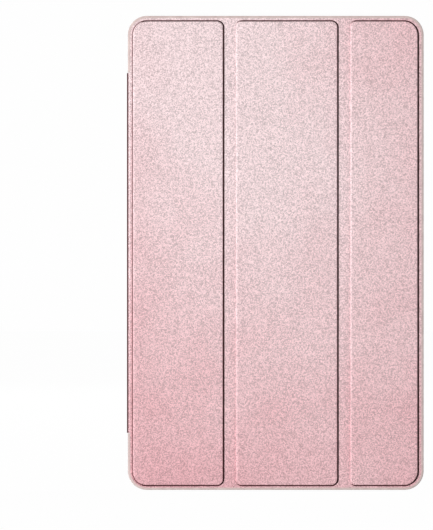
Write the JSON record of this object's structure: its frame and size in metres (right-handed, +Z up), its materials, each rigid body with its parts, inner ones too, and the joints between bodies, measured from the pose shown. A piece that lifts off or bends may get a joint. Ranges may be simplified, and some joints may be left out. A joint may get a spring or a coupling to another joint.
{
  "type": "tablet case",
  "caption": "Slim tri-fold folio case for a tablet: a moulded back shell with a boarded leather cover that folds at two pressed creases and a spine strip.",
  "frame": {"origin": "middle of the bottom of the box around the closed case, which stands upright on its bottom edge", "axes": "+Z up the long side of the case, -Y out of the front of the cover, -X towards the spine"},
  "size_m": [0.1564, 0.0122, 0.25],
  "materials": {
    "cover_leather": "rose pink artificial leather with a fine pearl grain",
    "lining_fabric": "short-napped microfibre",
    "shell_plastic": "frosted, slightly milky hard plastic",
    "board": "grey board, hidden under the leather",
    "stiffener_plastic": "plain strip, hidden in the spine",
    "magnet_nickel": "nickel-plated magnet, hidden in a board"
  },
  "bodies": {
    "shell": {"back_shell": "shell_plastic", "hinge_flap": "cover_leather"},
    "spine": {"spine_leather": "cover_leather", "spine_stiffener": "stiffener_plastic", "spine_lining": "lining_fabric"},
    "panel_1": {"panel_1_leather": "cover_leather", "panel_1_board": "board", "panel_1_magnets": "magnet_nickel", "panel_1_lining": "lining_fabric"},
    "crease_1": {"crease_1_leather": "cover_leather", "crease_1_lining": "lining_fabric"},
    "panel_2": {"panel_2_leather": "cover_leather", "panel_2_board": "board", "panel_2_lining": "lining_fabric"},
    "crease_2": {"crease_2_leather": "cover_leather", "crease_2_lining": "lining_fabric"},
    "panel_3": {"panel_3_leather": "cover_leather", "panel_3_board": "board", "panel_3_magnets": "magnet_nickel", "wake_magnet": "magnet_nickel", "panel_3_lining": "lining_fabric"}
  },
  "joints": [
    {"name": "spine_hinge", "type": "hinge", "parent": "shell", "child": "spine", "pos_m": [-0.07755, 0.00575, 0.125], "axis": [0, 0, -1], "range_deg": [0, 180]},
    {"name": "cover_hinge", "type": "hinge", "parent": "spine", "child": "panel_1", "pos_m": [-0.07755, -0.00425, 0.125], "axis": [0, 0, -1], "range_deg": [0, 180]},
    {"name": "fold_1_in", "type": "hinge", "parent": "panel_1", "child": "crease_1", "pos_m": [-0.0256, -0.00385, 0.125], "axis": [0, 0, 1], "range_deg": [0, 133.5]},
    {"name": "fold_1_out", "type": "hinge", "parent": "crease_1", "child": "panel_2", "pos_m": [-0.0228, -0.00495, 0.125], "axis": [0, 0, -1], "range_deg": [0, 133.5]},
    {"name": "fold_2_in", "type": "hinge", "parent": "panel_2", "child": "crease_2", "pos_m": [0.03468, -0.00385, 0.125], "axis": [0, 0, 1], "range_deg": [0, 130]},
    {"name": "fold_2_out", "type": "hinge", "parent": "crease_2", "child": "panel_3", "pos_m": [0.03748, -0.00495, 0.125], "axis": [0, 0, -1], "range_deg": [0, 130]}
  ],
  "couplings": [
    {"joint": "fold_1_in", "follows": "cover_hinge", "ratio": 0.7416},
    {"joint": "fold_2_in", "follows": "cover_hinge", "ratio": 0.7221}
  ]
}
